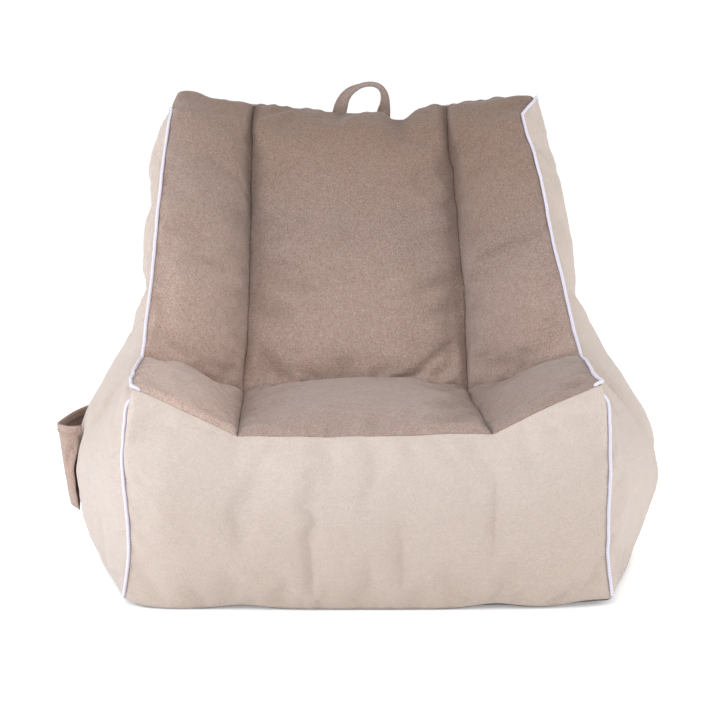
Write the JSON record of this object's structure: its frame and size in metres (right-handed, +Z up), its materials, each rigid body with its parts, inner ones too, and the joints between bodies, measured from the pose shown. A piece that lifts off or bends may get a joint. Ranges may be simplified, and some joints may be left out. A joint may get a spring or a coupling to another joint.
{
  "type": "bean bag chair",
  "caption": "Two-tone bean bag armchair with arms, a padded three-panel back, piping, a carry handle, a side pocket and a zipped rear.",
  "frame": {"origin": "on the floor under the seat, at the middle of the flat base panel's underside", "axes": "+X to the right as seen from in front of the chair, +Y to the rear, +Z up"},
  "size_m": [0.9792, 0.8464, 0.7506],
  "materials": {
    "cover_beige": "beige micro-suede with a soft short nap",
    "cover_brown": "warm grey-brown micro-suede with a mottled nap",
    "handle_strap": "folded brown micro-suede strap, stitched along both edges",
    "piping": "white woven piping cord",
    "base_cloth": "hard-wearing dark plain-weave cloth",
    "liner_cloth": "thin undyed non-woven lining",
    "beads": "white expanded polystyrene beads",
    "zip_tape": "woven zip tape",
    "zip_coil": "nylon coil",
    "zip_metal": "dull nickel-plated zip metal"
  },
  "bodies": {
    "cover": {"front_panel": "cover_beige", "left_side_panel": "cover_beige", "right_side_panel": "cover_beige", "rear_panel": "cover_beige", "rear_strip": "cover_beige", "seat_panel": "cover_brown", "left_arm_panel": "cover_brown", "right_arm_panel": "cover_brown", "back_left_panel": "cover_brown", "back_centre_panel": "cover_brown", "back_right_panel": "cover_brown", "base_panel": "base_cloth", "inner_liner": "liner_cloth", "liner_closure": "liner_cloth", "bead_fill": "beads", "piping_front_left": "piping", "piping_front_right": "piping", "piping_back_left": "piping", "piping_back_right": "piping", "pocket_panel": "cover_brown", "pocket_hem": "cover_brown", "zip_tape_upper": "zip_tape", "zip_tape_lower": "zip_tape", "zip_coil_upper": "zip_coil", "zip_coil_lower": "zip_coil", "zip_stop_left": "zip_metal", "zip_stop_right": "zip_metal"},
    "handle": {"carry_handle": "handle_strap"},
    "slider": {"zip_slider": "zip_metal"},
    "pull": {"zip_pull": "zip_metal"}
  },
  "joints": [
    {"name": "handle_fold", "type": "hinge", "parent": "cover", "child": "handle", "pos_m": [-0.006, 0.221, 0.7095], "axis": [1, 0, 0], "range_deg": [-85, 65], "stiffness_Nm_per_rad": 0.01},
    {"name": "zip_run", "type": "slide", "parent": "cover", "child": "slider", "axis": [1, 0, 0], "range_m": [0, 0.428]},
    {"name": "pull_flip", "type": "hinge", "parent": "slider", "child": "pull", "pos_m": [-0.214, 0.4148, 0.075], "axis": [0, 0, -1], "range_deg": [0, 170]}
  ]
}
